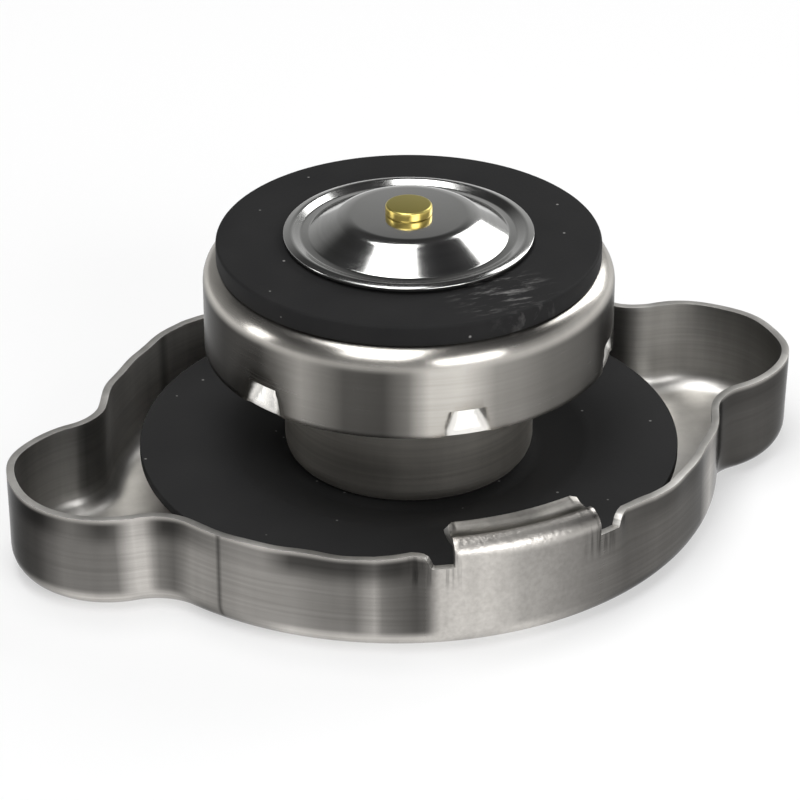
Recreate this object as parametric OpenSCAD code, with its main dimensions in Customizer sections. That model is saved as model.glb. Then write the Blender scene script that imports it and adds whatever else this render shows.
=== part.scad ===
// Radiator cap, lying on its outer face with the valve side up.
// Millimetres. Z = 0 is the outer crown face, Z is the cap's axis, X runs through the two finger lobes
// and the locking tabs are on the -Y and +Y sides.

/* [Shell] */
// thickness of the shell's sheet
shell_t = 0.8; // [0.6:0.1:1.1]
// height of the skirt from the crown face to the rim
shell_h = 11; // [9.5:0.5:13]
// radius of the skirt's two long side arcs
side_r = 34; // [33:0.5:36]
// distance from the axis to the skirt's outer face at the tabs
side_y = 30.9; // [30.5:0.1:32]
// distance from the axis to the tip of a lobe
lobe_tip = 43.6; // [42:0.2:46]
// nose radius of a lobe
lobe_r = 10.4; // [9.5:0.1:11.5]
// concave radius where a lobe leaves the side arc
lobe_blend_r = 5; // [4:0.5:7]
// outer radius of the bend between crown and skirt
crown_bend_r = 3; // [2:0.2:3.6]

/* [Crown well] */
// radius of the raised seat in the middle of the crown, to the start of its bend
seat_r = 13.6; // [12:0.2:14]
// depth of the well pressed into the outer face
well_depth = 4; // [3.8:0.1:5]
// inner radius of both bends of the well's side
well_bend = 1; // [0.6:0.1:1.2]

/* [Locking tabs] */
// width of a tab along the skirt
tab_width = 16.8; // [13:0.2:19]
// reach of a tab inward from the skirt's outer face
tab_reach = 4.6; // [3.6:0.1:5]
// height of a tab's top face above the rim
tab_rise = 1.3; // [0.8:0.1:2]
// outer radius of a tab's bend
tab_bend_r = 1.8; // [1.4:0.1:2]
// width of the relief notch on each side of a tab
notch_width = 1.9; // [1.4:0.1:2.6]
// depth of a notch below the rim
notch_depth = 1.2; // [1:0.1:2]
// rounding of the corners of a tab's lip
lip_round = 1.8; // [1:0.1:2.2]
// rounding of the rim where it meets a notch
rim_round = 1.1; // [0.6:0.1:1.1]

/* [Neck gasket and spring disc] */
// outer radius of the gasket
gasket_r = 28.3; // [27.5:0.1:28.8]
// thickness of the gasket
gasket_t = 1; // [0.8:0.1:1.4]
// rise of the gasket's outer ring above its clamped middle
gasket_rise = 1.2; // [0.8:0.1:1.6]
// width of the clamped middle beyond the housing's barrel
clamp_margin = 0.8; // [0.6:0.1:1.2]
// width of the sloping part between the clamped middle and the outer ring
slope_width = 5; // [4:0.2:6]
// outer radius of the sprung steel disc behind the gasket
disc_r = 27.6; // [26.5:0.1:28]
// thickness of the sprung steel disc
disc_t = 0.4; // [0.3:0.05:0.6]

/* [Spring housing] */
// outer radius of the housing's barrel
housing_r = 13; // [12.8:0.1:13.4]
// thickness of the housing's sheet
housing_t = 0.7; // [0.5:0.1:0.8]
// outer radius of the bend at the housing's foot
foot_bend_r = 2; // [1.4:0.1:2.4]
// radius of the bend under the housing's flange
flange_bend_r = 1; // [0.6:0.1:1.4]
// gap between the flange's edge and the wall of the valve cup
flange_gap = 0.7; // [0.6:0.05:0.9]

/* [Valve cup] */
// distance from the gasket's sealing ring to the face of the pressure seal
reach = 23.3; // [22.5:0.1:25]
// outer radius of the cup
cup_r = 21.2; // [21.1:0.05:21.4]
// thickness of the cup's sheet
cup_t = 0.8; // [0.6:0.1:0.9]
// height of the cup from its rim to its flat top
cup_h = 9.5; // [9:0.1:10]
// outer radius of the cup's shoulder
shoulder_r = 2.2; // [1.6:0.1:2.6]
// radius of the raised boss that centres the seal
boss_r = 8.3; // [7.8:0.1:8.6]
// height of the boss above the cup's flat top
boss_h = 1.9; // [1.7:0.1:2.1]
// number of lanced flaps that hold the cup on the flange
flap_count = 6; // [4:1:8]
// direction of the first flap, in degrees from X
flap_start = 22.8; // [0:0.2:45]
// width of a flap
flap_width = 3.4; // [2.6:0.2:4.4]
// height of a flap above the cup's rim
flap_h = 2.8; // [2.4:0.1:3]
// how far a flap's top edge is pushed in
flap_push = 1.2; // [1:0.1:1.4]
// radius of a flow hole in the boss
port_r = 1.1; // [0.7:0.1:1.3]
// number of flow holes
port_count = 4; // [3:1:6]

/* [Pressure seal] */
// outer radius of the seal
seal_r = 19.8; // [19:0.1:20.2]
// thickness of the seal
seal_t = 2.2; // [2.1:0.1:2.6]
// size of the broken edge all round the seal
seal_edge = 0.25; // [0.1:0.05:0.4]

/* [Vacuum valve] */
// outer radius of the dished disc
dish_r = 12.9; // [12.4:0.1:13.6]
// thickness of the dished disc
dish_t = 0.45; // [0.35:0.05:0.55]
// radius of the disc's flat crown
dish_crown_r = 6.7; // [6.2:0.1:7.2]
// height of the crown above the trough
dish_rise = 2.25; // [2:0.05:2.6]
// radius where the cone meets the trough
dish_foot_r = 10.4; // [10:0.1:10.8]
// radius of the trough's lowest ring
trough_r = 11.4; // [11.1:0.1:11.8]
// rise of the disc's rim above the trough
rim_rise = 0.35; // [0.2:0.05:0.6]
// radius of the stem's head
stem_head_r = 2.4; // [2:0.1:3]
// height of the stem's head
stem_head_h = 1; // [0.7:0.1:1.4]
// radius of the stem's shank
stem_r = 1.5; // [1.3:0.1:1.6]
// radius of the stem's staked necks
stem_neck_r = 1.1; // [0.9:0.1:1.2]
// radius of the spring retainer
retainer_r = 3.4; // [3.2:0.1:4]
// thickness of the spring retainer
retainer_t = 0.6; // [0.5:0.1:0.9]

/* [Springs] */
// wire diameter of the main spring
main_wire = 2; // [1.6:0.1:2.1]
// gap between the main spring and the housing's wall
main_gap = 1; // [0.7:0.1:1.3]
// number of turns of the main spring
main_turns = 6.5; // [5.5:0.5:6.5]
// wire diameter of the vacuum spring
vacuum_wire = 0.5; // [0.4:0.05:0.6]
// mean radius of the vacuum spring's coils
vacuum_coil_r = 2.4; // [2.3:0.05:2.6]
// number of turns of the vacuum spring
vacuum_turns = 7; // [5:0.5:8]
// length of the vacuum spring
vacuum_length = 7; // [6.5:0.5:8]

/* [Centre rivet] */
// radius of the rivet's shank
rivet_r = 2.5; // [2:0.1:3]
// radius of the rivet's outer head
rivet_head_r = 4.5; // [3.8:0.1:5.5]
// height of the rivet's outer head
rivet_head_h = 1.3; // [1:0.1:1.6]
// height of the rivet's upset head inside the housing
rivet_upset_h = 1.2; // [0.8:0.1:1.6]

/* [Fits] */
// radial running clearance of the rivet in the shell
swivel_clearance = 0.05; // [0.03:0.01:0.1]
// gap between the rivet's outer head and the crown
swivel_end_gap = 0.05; // [0.03:0.01:0.1]
// radial running clearance of the stem in the boss
stem_clearance = 0.08; // [0.04:0.01:0.1]
// gap between the flaps and the housing's flange
flap_gap = 0.1; // [0.05:0.01:0.2]
// gap between the dished disc and the seal
dish_gap = 0.05; // [0.03:0.01:0.1]
// gap between the boss's foot bend and the seal's hole
seal_bore_gap = 0.1; // [0.05:0.05:0.3]

/* [Hidden] */
$fn = 96;
// levels of the stack, from the crown upwards
seat_z = well_depth + shell_t;
gasket_z = seat_z + disc_t;
housing_z = gasket_z + gasket_t;
sealing_z = housing_z + gasket_rise;
seal_top_z = sealing_z + reach;
cup_top_z = seal_top_z - seal_t;
cup_rim_z = cup_top_z - cup_h;
flap_top_z = cup_rim_z + flap_h;
flange_z = flap_top_z + flap_gap;
boss_top_z = cup_top_z + boss_h;
trough_z = seal_top_z + dish_gap + dish_t;
crown_z = trough_z + dish_rise;
main_bottom_z = housing_z + housing_t;
main_top_z = cup_top_z - cup_t;
main_coil_r = housing_r - housing_t - main_gap - main_wire / 2;
flange_r = cup_r - cup_t - flange_gap;
vacuum_top_z = boss_top_z - cup_t;
vacuum_bottom_z = vacuum_top_z - vacuum_length;
retainer_z = vacuum_bottom_z - retainer_t;
tab_top_z = shell_h + tab_rise;
notch_z = shell_h - notch_depth;

// plan of the skirt: centres of the side arc, the blend and the lobe
side_centre_y = side_r - side_y;
lobe_x = lobe_tip - lobe_r;
blend_reach = side_r + lobe_blend_r;
nose_reach = lobe_r + lobe_blend_r;
centre_gap = norm([lobe_x, side_centre_y]);
gap_angle = atan2(side_centre_y, lobe_x);
blend_angle = gap_angle + acos((blend_reach ^ 2 + centre_gap ^ 2 - nose_reach ^ 2) / (2 * blend_reach * centre_gap));
blend_x = blend_reach * cos(blend_angle);
blend_y = blend_reach * sin(blend_angle) - side_centre_y;
nose_angle = atan2(blend_y, blend_x - lobe_x);
well_edge_r = seat_r + 2 * well_bend + shell_t;
tab_half_angle = asin(tab_width / 2 / side_r);
notch_angle = notch_width / side_r * 180 / PI;
// how far a rounding's arc runs past the straight edges that it joins
arc_overlap = 0.06;

// plan of the dished disc and the gasket's dish
boss_bend = 0.3;
boss_corner = 0.5;
rise_start_r = housing_r + clamp_margin;
rise_end_r = rise_start_r + slope_width;
flap_half_angle = flap_width / 2 / cup_r * 180 / PI;
flap_web_angle = cup_t / cup_r * 180 / PI;
port_ring_r = (vacuum_coil_r + vacuum_wire / 2 + boss_r - cup_t - boss_corner) / 2 + 0.3;

// a quarter of a ring about [x, z] that fills the quadrant given by the signs of qx and qz
module quarter_ring(x, z, inner, thick, qx, qz) {
    outer = inner + thick;
    translate([x, z])
        intersection() {
            difference() {
                circle(outer);
                circle(inner);
            }
            translate([qx > 0 ? 0 : -outer - 1, qz > 0 ? 0 : -outer - 1])
                square(outer + 1);
        }
}

// a plate between two corners
module plate(x0, z0, x1, z1) {
    translate([x0, z0])
        square([x1 - x0, z1 - z0]);
}

// everything on one side of the local X axis
module half_space(side) {
    translate([-200, side > 0 ? 0 : -200, -50])
        cube([400, 200, 100]);
}

// points of a rounded corner at b on the way from a to c
function unit(v) = v / norm(v);
function corner(a, b, c, r, steps = 6) =
    let (
        u = unit(a - b),
        v = unit(c - b),
        half = acos(u * v) / 2,
        centre = b + unit(u + v) * r / sin(half),
        first = b + u * r / tan(half) - centre,
        last = b + v * r / tan(half) - centre,
        start = atan2(first[1], first[0]),
        sweep = atan2(first[0] * last[1] - first[1] * last[0], first * last)
    )
    [for (i = [0 : steps]) centre + r * [cos(start + sweep * i / steps), sin(start + sweep * i / steps)]];

// the corner of a line beside a, b, c at a distance t below it
function below(a, b, c, t) =
    let (u = unit(b - a), v = unit(c - b), n = [u[1], -u[0]], m = [v[1], -v[0]], k = unit(n + m))
    b + k * t / (k * n);

// skirt of a convex arc: crown plate, bend and wall
module pan_section(r) {
    plate(0, 0, r - crown_bend_r, shell_t);
    quarter_ring(r - crown_bend_r, crown_bend_r, crown_bend_r - shell_t, shell_t, 1, -1);
    plate(r - shell_t, crown_bend_r, r, shell_h);
}

// skirt of the concave blend: the same, turned outward
module flare_section(r) {
    plate(r + crown_bend_r, 0, r + 60, shell_t);
    quarter_ring(r + crown_bend_r, crown_bend_r, crown_bend_r - shell_t, shell_t, -1, -1);
    plate(r, crown_bend_r, r + shell_t, shell_h);
}

// a point of the plan, moved in a coarse and a fine step so that it keeps all its digits
module at_point(x, y) {
    coarse_x = round(x * 100) / 100;
    coarse_y = round(y * 100) / 100;
    translate([coarse_x, coarse_y, 0])
        translate([x - coarse_x, y - coarse_y, 0])
            children();
}

// everything on one side of the plane through the side arc's centre and the blend's centre
module beside_blend(side) {
    translate([0, -side_centre_y, 0])
        rotate([0, 0, blend_angle])
            half_space(side);
}

// everything on one side of the plane through the lobe's centre and the blend's centre
module beside_nose(side) {
    translate([lobe_x, 0, 0])
        rotate([0, 0, nose_angle])
            half_space(side);
}

// a quarter of the shell's pan, between the two planes of symmetry
module pan_quarter() {
    intersection() {
        translate([0, 0, -1])
            cube([60, 60, 30]);
        union() {
            intersection() {
                translate([0, -side_centre_y, 0])
                    rotate_extrude()
                        pan_section(side_r);
                beside_blend(1);
            }
            intersection() {
                at_point(blend_x, blend_y)
                    rotate_extrude()
                        flare_section(lobe_blend_r);
                beside_blend(-1);
                beside_nose(1);
            }
            intersection() {
                translate([lobe_x, 0, 0])
                    rotate_extrude()
                        pan_section(lobe_r);
                beside_nose(-1);
            }
        }
    }
}

module pan() {
    for (x = [0, 1], y = [0, 1])
        mirror([x, 0, 0])
            mirror([0, y, 0])
                pan_quarter();
}

// the well: raised seat, upper bend, side, lower bend
module well_section() {
    side_x = seat_r + well_bend;
    plate(rivet_r + swivel_clearance, well_depth, seat_r, seat_z);
    quarter_ring(seat_r, well_depth - well_bend, well_bend, shell_t, 1, 1);
    plate(side_x, well_bend + shell_t, side_x + shell_t, well_depth - well_bend);
    quarter_ring(well_edge_r, well_bend + shell_t, well_bend, shell_t, -1, -1);
}

// a tab: its root in the wall, the bend and the lip
module tab_section() {
    bend_z = tab_top_z - tab_bend_r;
    plate(side_r - shell_t, notch_z, side_r, bend_z);
    quarter_ring(side_r - tab_bend_r, bend_z, tab_bend_r - shell_t, shell_t, 1, 1);
    plate(side_r - tab_reach, tab_top_z - shell_t, side_r - tab_bend_r, tab_top_z);
}

// a turned section about the side arc's centre, kept over an angle to each side of +Y
module side_sector(half_angle) {
    translate([0, -side_centre_y, 0])
        intersection() {
            rotate_extrude()
                children();
            rotate([0, 0, 90 - half_angle])
                half_space(1);
            rotate([0, 0, 90 + half_angle])
                half_space(-1);
        }
}

module both_tabs() {
    for (turn = [0, 180])
        rotate([0, 0, turn])
            children();
}

// both ends of a sector beside +Y: local X points outward, the sector lies on +Y
module sector_ends(half_angle) {
    for (end = [0, 1])
        translate([0, -side_centre_y, 0])
            rotate([0, 0, end == 0 ? 90 - half_angle : 90 + half_angle])
                mirror([0, end, 0])
                    children();
}

// what is cut away to round a corner of a tab's lip
module lip_corner() {
    inset = lip_round - arc_overlap;
    edge_r = side_r - tab_reach;
    difference() {
        translate([edge_r - 1, -1, tab_top_z - shell_t - 1])
            cube([inset + 1, inset + 1, shell_t + 2]);
        translate([edge_r + inset, inset, tab_top_z - shell_t - 2])
            cylinder(h = shell_t + 4, r = lip_round);
    }
}

// what is cut away to round the rim beside a notch
module rim_corner() {
    inset = rim_round - arc_overlap;
    difference() {
        translate([side_r - 3 * shell_t, -inset, shell_h - inset])
            cube([5 * shell_t, inset + 0.5, inset + 1]);
        translate([side_r - 4 * shell_t, -inset, shell_h - inset])
            rotate([0, 90, 0])
                cylinder(h = 7 * shell_t, r = rim_round);
    }
}

module cap_shell() {
    color("silver")
        union() {
            difference() {
                pan();
                translate([0, 0, -1])
                    cylinder(h = seat_z + 2, r = well_edge_r);
                both_tabs()
                    side_sector(tab_half_angle + notch_angle)
                        plate(side_r - 3 * shell_t, notch_z, side_r + shell_t, shell_h + 1);
                both_tabs()
                    sector_ends(tab_half_angle + notch_angle)
                        rim_corner();
            }
            rotate_extrude()
                well_section();
            both_tabs()
                difference() {
                    side_sector(tab_half_angle)
                        tab_section();
                    sector_ends(tab_half_angle)
                        lip_corner();
                }
        }
}

module centre_rivet() {
    head_top = well_depth - swivel_end_gap;
    upset_z = housing_z + housing_t;
    upset_r = rivet_head_r - 0.3;
    color("gainsboro")
        rotate_extrude()
            polygon([
                [0, head_top - rivet_head_h],
                [rivet_head_r - 0.6, head_top - rivet_head_h],
                [rivet_head_r, head_top - 0.5],
                [rivet_head_r, head_top],
                [rivet_r, head_top],
                [rivet_r, upset_z],
                [upset_r, upset_z],
                [upset_r, upset_z + 0.4],
                [upset_r - 0.8, upset_z + rivet_upset_h],
                [0, upset_z + rivet_upset_h]
            ]);
}

// a flat middle, a rising cone and a flat outer ring
module dished_section(r, z, t, edge) {
    polygon([
        [rivet_r, z],
        [rise_start_r, z],
        [rise_end_r, z + gasket_rise],
        [r - edge, z + gasket_rise],
        [r, z + gasket_rise + edge],
        [r, z + gasket_rise + t - edge],
        [r - edge, z + gasket_rise + t],
        [rise_end_r, z + gasket_rise + t],
        [rise_start_r, z + t],
        [rivet_r, z + t]
    ]);
}

module spring_disc() {
    color("lightsteelblue")
        rotate_extrude()
            dished_section(disc_r, seat_z, disc_t, 0.05);
}

module neck_gasket() {
    color("dimgray")
        rotate_extrude()
            dished_section(gasket_r, gasket_z, gasket_t, 0.15);
}

module spring_housing() {
    foot_in = foot_bend_r - housing_t;
    foot_x = housing_r - foot_bend_r;
    flange_x = housing_r + flange_bend_r;
    flange_turn_z = flange_z - flange_bend_r;
    color("darkgray")
        rotate_extrude() {
            plate(rivet_r, housing_z, foot_x, housing_z + housing_t);
            quarter_ring(foot_x, housing_z + foot_bend_r, foot_in, housing_t, 1, -1);
            plate(housing_r - housing_t, housing_z + foot_bend_r, housing_r, flange_turn_z);
            quarter_ring(flange_x, flange_turn_z, flange_bend_r, housing_t, -1, 1);
            plate(flange_x, flange_z, flange_r, flange_z + housing_t);
        }
}

// a coil spring standing on z0: one closed turn at each end, open turns between
module coil(z0, length, coil_r, wire, turns, steps, sides) {
    count = round(turns * steps);
    run = length - wire;
    closed = 1.04 * wire;
    open_run = run - 2 * closed;
    rise = [
        for (i = [0 : count])
            let (n = i / steps)
                n < 1 ? closed * n
                : n > turns - 1 ? run - closed * (turns - n)
                : closed + open_run * (n - 1) / (turns - 2)
    ];
    rings = [
        for (i = [0 : count], j = [0 : sides - 1])
            let (
                a = 360 * i / steps,
                b = 360 * (j + 0.5) / sides,
                rr = wire / 2 / cos(180 / sides),
                out = coil_r + rr * cos(b)
            )
                [out * cos(a), out * sin(a), z0 + wire / 2 + rise[i] + rr * sin(b)]
    ];
    walls = [
        for (i = [0 : count - 1], j = [0 : sides - 1])
            let (k = (j + 1) % sides, a = i * sides, b = a + sides)
                each [[a + j, b + j, b + k], [a + j, b + k, a + k]]
    ];
    first = [for (j = [0 : sides - 1]) j];
    last = [for (j = [sides - 1 : -1 : 0]) count * sides + j];
    polyhedron(points = rings, faces = concat([first, last], walls));
}

module main_spring() {
    color("slategray")
        coil(main_bottom_z, main_top_z - main_bottom_z, main_coil_r, main_wire, main_turns, 28, 8);
}

// the cup: boss, flat top, shoulder and skirt
module cup_section() {
    boss_in = boss_corner;
    boss_x = boss_r - cup_t - boss_corner;
    skirt_x = cup_r - cup_t;
    plate(stem_r + stem_clearance, boss_top_z - cup_t, boss_x, boss_top_z);
    quarter_ring(boss_x, boss_top_z - cup_t - boss_corner, boss_in, cup_t, 1, 1);
    plate(boss_r - cup_t, cup_top_z + boss_bend, boss_r, boss_top_z - cup_t - boss_corner);
    quarter_ring(boss_r + boss_bend, cup_top_z + boss_bend, boss_bend, cup_t, -1, -1);
    plate(boss_r + boss_bend, cup_top_z - cup_t, cup_r - shoulder_r, cup_top_z);
    quarter_ring(cup_r - shoulder_r, cup_top_z - shoulder_r, shoulder_r - cup_t, cup_t, 1, 1);
    plate(skirt_x, cup_rim_z, cup_r, cup_top_z - shoulder_r);
}

// a turned section kept over an angle to each side of every flap's middle
module flap_sectors(half_angle) {
    for (i = [0 : flap_count - 1])
        intersection() {
            middle = flap_start + 360 * i / flap_count;
            rotate_extrude()
                children();
            rotate([0, 0, middle - half_angle])
                half_space(1);
            rotate([0, 0, middle + half_angle])
                half_space(-1);
        }
}

module valve_cup() {
    foot_push = 0.1;
    skirt_x = cup_r - cup_t;
    color("lightgray")
        difference() {
            union() {
                rotate_extrude()
                    cup_section();
                flap_sectors(flap_half_angle + flap_web_angle)
                    polygon([
                        [skirt_x - foot_push, cup_rim_z],
                        [skirt_x + cup_t / 4, cup_rim_z],
                        [skirt_x + cup_t / 4, flap_top_z],
                        [skirt_x - flap_push, flap_top_z]
                    ]);
            }
            flap_sectors(flap_half_angle)
                polygon([
                    [cup_r - foot_push, cup_rim_z],
                    [cup_r - foot_push, cup_rim_z - 1],
                    [cup_r + 1, cup_rim_z - 1],
                    [cup_r + 1, flap_top_z],
                    [cup_r - flap_push, flap_top_z]
                ]);
            for (i = [0 : port_count - 1])
                rotate([0, 0, 360 * (i + 0.5) / port_count])
                    translate([port_ring_r, 0, boss_top_z - cup_t - 1])
                        cylinder(h = cup_t + 2, r = port_r);
        }
}

module pressure_seal() {
    bore = boss_r + boss_bend + seal_bore_gap;
    color("black")
        rotate_extrude()
            polygon([
                [bore, cup_top_z],
                [seal_r - seal_edge, cup_top_z],
                [seal_r, cup_top_z + seal_edge],
                [seal_r, seal_top_z - seal_edge],
                [seal_r - seal_edge, seal_top_z],
                [bore + seal_edge, seal_top_z],
                [bore, seal_top_z - seal_edge]
            ]);
}

module vacuum_disc() {
    hole = [stem_neck_r, crown_z];
    crown = [dish_crown_r, crown_z];
    foot = [dish_foot_r, trough_z];
    trough = [trough_r, trough_z];
    rim = [dish_r, trough_z + rim_rise];
    crown_low = below(hole, crown, foot, dish_t);
    foot_low = below(crown, foot, trough, dish_t);
    trough_low = below(foot, trough, rim, dish_t);
    hole_low = hole - [0, dish_t];
    rim_low = rim - [0, dish_t];
    upper = concat(
        [hole],
        corner(hole, crown, foot, 1.2),
        corner(crown, foot, trough, 0.5),
        corner(foot, trough, rim, 1),
        [rim]
    );
    lower = concat(
        [rim_low],
        corner(rim_low, trough_low, foot_low, 1),
        corner(trough_low, foot_low, crown_low, 0.9),
        corner(foot_low, crown_low, hole_low, 0.8),
        [hole_low]
    );
    color("whitesmoke")
        rotate_extrude()
            polygon(concat(upper, lower));
}

module vacuum_stem() {
    tail_r = stem_r + 0.4;
    tail_z = retainer_z - 0.6;
    head_edge = 0.15;
    color("goldenrod")
        rotate_extrude()
            polygon([
                [0, tail_z],
                [tail_r - 0.3, tail_z],
                [tail_r, tail_z + 0.3],
                [tail_r, retainer_z],
                [stem_neck_r, retainer_z],
                [stem_neck_r, vacuum_bottom_z],
                [stem_r, vacuum_bottom_z],
                [stem_r, crown_z - dish_t],
                [stem_neck_r, crown_z - dish_t],
                [stem_neck_r, crown_z],
                [stem_head_r, crown_z],
                [stem_head_r, crown_z + stem_head_h - head_edge],
                [stem_head_r - head_edge, crown_z + stem_head_h],
                [0, crown_z + stem_head_h]
            ]);
}

module vacuum_spring() {
    color("lightslategray")
        coil(vacuum_bottom_z, vacuum_length, vacuum_coil_r, vacuum_wire, vacuum_turns, 14, 8);
}

module spring_retainer() {
    color("gray")
        rotate_extrude()
            plate(stem_neck_r, retainer_z, retainer_r, vacuum_bottom_z);
}

cap_shell();
centre_rivet();
spring_disc();
neck_gasket();
spring_housing();
main_spring();
valve_cup();
pressure_seal();
vacuum_disc();
vacuum_stem();
vacuum_spring();
spring_retainer();
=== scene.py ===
import math

import bmesh
import bpy
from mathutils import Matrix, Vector


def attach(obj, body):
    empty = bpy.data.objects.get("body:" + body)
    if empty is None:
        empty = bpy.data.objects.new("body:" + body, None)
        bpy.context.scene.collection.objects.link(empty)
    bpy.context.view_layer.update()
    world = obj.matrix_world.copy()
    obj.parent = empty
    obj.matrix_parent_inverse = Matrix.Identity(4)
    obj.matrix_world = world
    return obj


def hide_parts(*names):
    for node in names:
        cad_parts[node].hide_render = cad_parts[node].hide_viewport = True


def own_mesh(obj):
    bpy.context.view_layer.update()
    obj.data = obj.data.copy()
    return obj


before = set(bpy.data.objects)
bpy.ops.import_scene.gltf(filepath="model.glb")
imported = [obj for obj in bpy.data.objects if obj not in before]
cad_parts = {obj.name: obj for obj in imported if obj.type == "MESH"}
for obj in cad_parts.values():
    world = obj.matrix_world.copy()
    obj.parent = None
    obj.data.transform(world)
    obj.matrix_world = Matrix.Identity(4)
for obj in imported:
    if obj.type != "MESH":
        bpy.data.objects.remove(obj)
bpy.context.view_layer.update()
scene = bpy.context.scene
scene.view_settings.view_transform = "Standard"


# Studio: a long lens looks down on the cap with one finger lobe swung towards it, on a white floor.
# Five soft lamps stand round it. The angles and distances are fitted to the photograph.
aim = Vector((0, 0, 0.01158))
camera_turn = math.radians(-113.3)
camera_rise = math.radians(29.12)
camera_distance = 0.3899


def from_aim(turn, rise, distance):
    """The place at a distance from the aim, by its angles round Z and above the floor."""
    flat = math.cos(rise)
    return aim + distance * Vector((flat * math.cos(turn), flat * math.sin(turn), math.sin(rise)))


def face_aim(obj):
    """Turns a camera or a lamp towards the aim and puts it in the scene."""
    obj.rotation_euler = (aim - obj.location).to_track_quat("-Z", "Y").to_euler()
    scene.collection.objects.link(obj)


camera = bpy.data.objects.new("camera", bpy.data.cameras.new("camera"))
camera.data.lens = 167.3
camera.data.sensor_width = 36
camera.data.shift_x = -0.011
camera.data.clip_start = 0.01
camera.location = from_aim(camera_turn, camera_rise, camera_distance)
face_aim(camera)
scene.camera = camera


def softbox(name, turn, rise, distance, width, height, power):
    """A flat soft lamp that faces the cap. turn is in degrees to the right of the camera."""
    lamp = bpy.data.objects.new(name, bpy.data.lights.new(name, "AREA"))
    lamp.data.shape = "RECTANGLE"
    lamp.data.size = width
    lamp.data.size_y = height
    lamp.data.energy = power
    lamp.location = from_aim(camera_turn + math.radians(turn), math.radians(rise), distance)
    face_aim(lamp)
    return lamp


overhead = softbox("overhead_box", -64, 80.3, 0.61, 0.27, 0.60, 2.7)
overhead.rotation_euler = (0, 0, camera_turn + math.pi / 2)
softbox("key_strip", 33, 26, 0.62, 0.36, 0.22, 1.45)
softbox("left_wall", -88, 16, 0.70, 0.16, 0.30, 0.5)
softbox("right_back", 141, 34, 0.70, 0.26, 0.42, 1.6)
softbox("front_fill", -22, 52, 0.70, 0.34, 0.16, 0.7)


def fill(tree, node, inputs):
    """Gives a node's sockets, by name or number, a value or another socket to link."""
    for name, value in inputs.items():
        if isinstance(value, bpy.types.NodeSocket):
            tree.links.new(value, node.inputs[name])
        else:
            node.inputs[name].default_value = value


def add(tree, kind, inputs=None, **settings):
    """Adds a shader node with its settings and inputs."""
    node = tree.nodes.new("ShaderNode" + kind)
    for name, value in settings.items():
        setattr(node, name, value)
    fill(tree, node, inputs or {})
    return node


def remap(tree, value, low, high, to_low=0.0, to_high=1.0, smooth=False):
    """Carries a value from one range to another and stops at both ends."""
    ends = {"Value": value, "From Min": low, "From Max": high, "To Min": to_low, "To Max": to_high}
    kind = "SMOOTHSTEP" if smooth else "LINEAR"
    return add(tree, "MapRange", ends, interpolation_type=kind).outputs["Result"]


def calc(tree, operation, *values, clamp=False):
    """One sum on sockets or numbers."""
    node = add(tree, "Math", dict(enumerate(values)), operation=operation, use_clamp=clamp)
    return node.outputs[0]


def tone_ramp(tree, share, stops):
    """A grey tone that changes with a share; stops are pairs of share and tone."""
    ramp = add(tree, "ValToRGB", {"Fac": share})
    marks = ramp.color_ramp.elements
    marks.remove(marks[-1])
    for k, (place, tone) in enumerate(stops):
        mark = marks.new(place) if k else marks[0]
        mark.position = place
        mark.color = (tone, tone, tone, 1)
    return ramp


# the air is pale low down behind the cap, dark overhead, and darker towards the camera and the left
world = bpy.data.worlds.new("studio_air")
scene.world = world
world.use_nodes = True
air = world.node_tree
air.nodes.clear()
air_way = add(air, "TexCoord").outputs["Generated"]
air_height = add(air, "SeparateXYZ", {0: air_way}).outputs["Z"]
air_tone = tone_ramp(air, air_height, ((0.0, 0.56), (0.2, 0.48), (0.45, 0.31), (0.62, 0.056), (1.0, 0.024)))
air_tone.color_ramp.elements[-1].color = (0.024, 0.024, 0.026, 1)
pale_turn = camera_turn + 0.5
pale_way = (-math.sin(pale_turn), math.cos(pale_turn), 0)
air_side = add(air, "VectorMath", {0: air_way, 1: pale_way}, operation="DOT_PRODUCT").outputs["Value"]
air_fall = remap(air, air_side, -1.0, 0.6, 0.35, 1.0)
air_light = add(air, "Background", {"Color": air_tone.outputs["Color"], "Strength": air_fall})
add(air, "OutputWorld", {"Surface": air_light.outputs["Background"]})


def new_material(name):
    """A material, its node tree and its shader."""
    material = bpy.data.materials.new(name)
    material.use_nodes = True
    return material, material.node_tree, material.node_tree.nodes["Principled BSDF"]


# steel sees the floor as plain white, and the camera sees half the lit paint and half plain white
floor_white = (0.98, 0.98, 0.98, 1)
camera_share = 0.5
floor_bm = bmesh.new()
bmesh.ops.create_grid(floor_bm, x_segments=1, y_segments=1, size=2.0)
floor_mesh = bpy.data.meshes.new("floor")
floor_bm.to_mesh(floor_mesh)
floor_bm.free()
floor = bpy.data.objects.new("floor", floor_mesh)
floor.location.z = -0.00002
scene.collection.objects.link(floor)
floor_paint, floor_tree, floor_shader = new_material("white_floor")
fill(floor_tree, floor_shader, {
    "Base Color": (0.94, 0.94, 0.94, 1), "Roughness": 0.9, "Specular IOR Level": 0.1,
})
ray = add(floor_tree, "LightPath").outputs
white_share = calc(
    floor_tree, "MULTIPLY_ADD", ray["Is Camera Ray"], camera_share, ray["Is Glossy Ray"], clamp=True,
)
floor_light = add(floor_tree, "Emission", {"Color": floor_white})
floor_mix = add(floor_tree, "MixShader", {
    "Fac": white_share, 1: floor_shader.outputs["BSDF"], 2: floor_light.outputs["Emission"],
})
fill(floor_tree, floor_tree.nodes["Material Output"], {"Surface": floor_mix.outputs["Shader"]})
floor.data.materials.append(floor_paint)


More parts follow.
